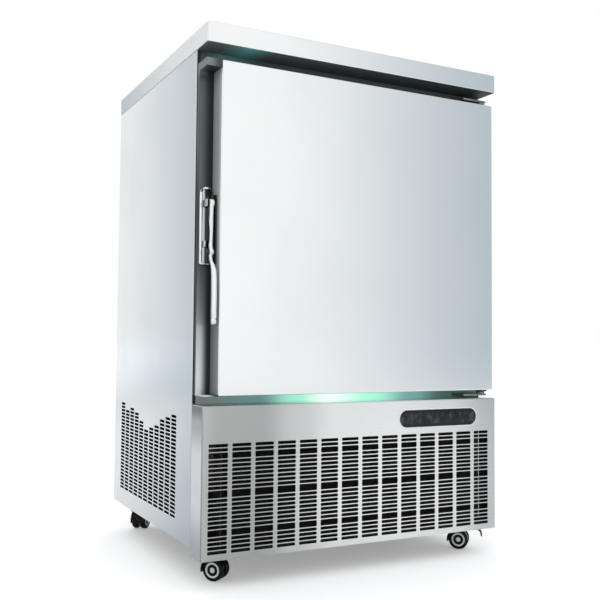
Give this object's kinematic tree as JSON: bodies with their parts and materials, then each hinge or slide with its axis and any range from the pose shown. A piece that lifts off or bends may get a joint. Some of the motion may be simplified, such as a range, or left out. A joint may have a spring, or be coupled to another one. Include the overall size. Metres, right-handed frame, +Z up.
{
  "type": "blast chiller",
  "caption": "Free-standing insulated cabinet on castors with a side-hinged latched door, an overhanging worktop and a louvred machine compartment below.",
  "frame": {"origin": "middle of the footprint, on the floor under the castor wheels", "axes": "+Z up, +X to the right as seen from the front, the door faces -Y"},
  "size_m": [0.8, 0.7, 1.235],
  "materials": {
    "steel": "satin",
    "inner_steel": "satin",
    "zinc": "satin",
    "chrome": "polished",
    "foam": "matte",
    "board": "matte",
    "gasket": "matte",
    "tyre": "satin",
    "black_plastic": "satin",
    "grey_plastic": "satin",
    "lens": "gloss",
    "enamel": "gloss",
    "copper": "satin",
    "fins": "satin"
  },
  "bodies": {
    "cabinet": {"worktop": "steel", "worktop_core": "board", "left_side_panel": "steel", "right_side_panel": "steel", "back_panel": "zinc", "rear_service_cover": "zinc", "mains_gland": "black_plastic", "insulation": "foam", "inner_liner": "inner_steel", "machine_ceiling": "zinc", "front_frame": "steel", "latch_strike": "chrome", "top_hinge_bracket": "steel", "bottom_hinge_bracket": "steel", "base_pan": "zinc", "base_frame": "zinc", "lower_front_panel": "steel", "display_bezel": "chrome", "display_lens": "lens", "control_box": "grey_plastic", "condenser_coil": "fins", "condenser_shroud": "zinc", "condenser_fan_motor": "enamel", "compressor": "enamel", "liquid_receiver": "enamel", "refrigerant_pipe": "copper", "evaporator_cover": "inner_steel", "evaporator_coil": "fins", "drip_tray": "inner_steel", "lower_fan_motor": "enamel", "upper_fan_motor": "enamel", "left_tray_rack": "inner_steel", "right_tray_rack": "inner_steel", "front_left_castor_plate": "zinc", "front_right_castor_plate": "zinc", "rear_left_castor_plate": "zinc", "rear_right_castor_plate": "zinc"},
    "door": {"door_skin": "steel", "door_foam": "foam", "door_inner_panel": "inner_steel", "door_gasket": "gasket", "bottom_hinge_bush": "black_plastic", "top_hinge_bush": "black_plastic", "handle_channel": "steel", "latch_base": "chrome"},
    "lever": {"latch_lever": "chrome"},
    "tongue": {"latch_tongue": "chrome"},
    "front_left_swivel": {"front_left_castor_fork": "black_plastic"},
    "front_left_wheels": {"front_left_castor_wheels": "tyre"},
    "front_right_swivel": {"front_right_castor_fork": "black_plastic"},
    "front_right_wheels": {"front_right_castor_wheels": "tyre"},
    "brake": {"brake_pedal": "black_plastic"},
    "rear_left_swivel": {"rear_left_castor_fork": "black_plastic"},
    "rear_left_wheels": {"rear_left_castor_wheels": "tyre"},
    "rear_right_swivel": {"rear_right_castor_fork": "black_plastic"},
    "rear_right_wheels": {"rear_right_castor_wheels": "tyre"},
    "condenser_rotor": {"condenser_fan": "black_plastic"},
    "lower_rotor": {"lower_fan": "black_plastic"},
    "upper_rotor": {"upper_fan": "black_plastic"}
  },
  "joints": [
    {"name": "door_hinge", "type": "hinge", "parent": "cabinet", "child": "door", "pos_m": [0.374, -0.323, 0.7845], "axis": [0, 0, 1], "range_deg": [0, 115]},
    {"name": "lever_pivot", "type": "hinge", "parent": "door", "child": "lever", "pos_m": [-0.3751, -0.3208, 0.838], "axis": [-1, 0, 0], "range_deg": [0, 40]},
    {"name": "tongue_slide", "type": "slide", "parent": "door", "child": "tongue", "axis": [0, -1, 0], "range_m": [0, 0.008]},
    {"name": "front_left_swivel_axis", "type": "hinge", "parent": "cabinet", "child": "front_left_swivel", "pos_m": [-0.34, -0.248, 0.05], "axis": [0, 0, 1], "continuous": true},
    {"name": "front_left_axle", "type": "hinge", "parent": "front_left_swivel", "child": "front_left_wheels", "pos_m": [-0.32843, -0.26179, 0.025], "axis": [0.766, 0.6428, 0], "continuous": true},
    {"name": "front_right_swivel_axis", "type": "hinge", "parent": "cabinet", "child": "front_right_swivel", "pos_m": [0.34, -0.248, 0.05], "axis": [0, 0, 1], "continuous": true},
    {"name": "front_right_axle", "type": "hinge", "parent": "front_right_swivel", "child": "front_right_wheels", "pos_m": [0.35273, -0.26073, 0.025], "axis": [0.7071, 0.7071, 0], "continuous": true},
    {"name": "brake_pivot", "type": "hinge", "parent": "front_right_swivel", "child": "brake", "pos_m": [0.35994, -0.26794, 0.0528], "axis": [0.7071, 0.7071, 0], "range_deg": [0, 12]},
    {"name": "rear_left_swivel_axis", "type": "hinge", "parent": "cabinet", "child": "rear_left_swivel", "pos_m": [-0.34, 0.3, 0.05], "axis": [0, 0, 1], "continuous": true},
    {"name": "rear_left_axle", "type": "hinge", "parent": "rear_left_swivel", "child": "rear_left_wheels", "pos_m": [-0.32843, 0.31379, 0.025], "axis": [-0.766, 0.6428, 0], "continuous": true},
    {"name": "rear_right_swivel_axis", "type": "hinge", "parent": "cabinet", "child": "rear_right_swivel", "pos_m": [0.34, 0.3, 0.05], "axis": [0, 0, 1], "continuous": true},
    {"name": "rear_right_axle", "type": "hinge", "parent": "rear_right_swivel", "child": "rear_right_wheels", "pos_m": [0.32441, 0.291, 0.025], "axis": [0.5, -0.866, 0], "continuous": true},
    {"name": "condenser_fan_shaft", "type": "hinge", "parent": "cabinet", "child": "condenser_rotor", "pos_m": [-0.14, -0.2732, 0.1988], "axis": [0, 1, 0], "continuous": true},
    {"name": "lower_fan_shaft", "type": "hinge", "parent": "cabinet", "child": "lower_rotor", "pos_m": [0, 0.1945, 0.644], "axis": [0, 1, 0], "continuous": true},
    {"name": "upper_fan_shaft", "type": "hinge", "parent": "cabinet", "child": "upper_rotor", "pos_m": [0, 0.1945, 0.944], "axis": [0, 1, 0], "continuous": true}
  ],
  "couplings": [
    {"joint": "tongue_slide", "follows": "lever_pivot", "m_per_rad": 0.0114}
  ]
}
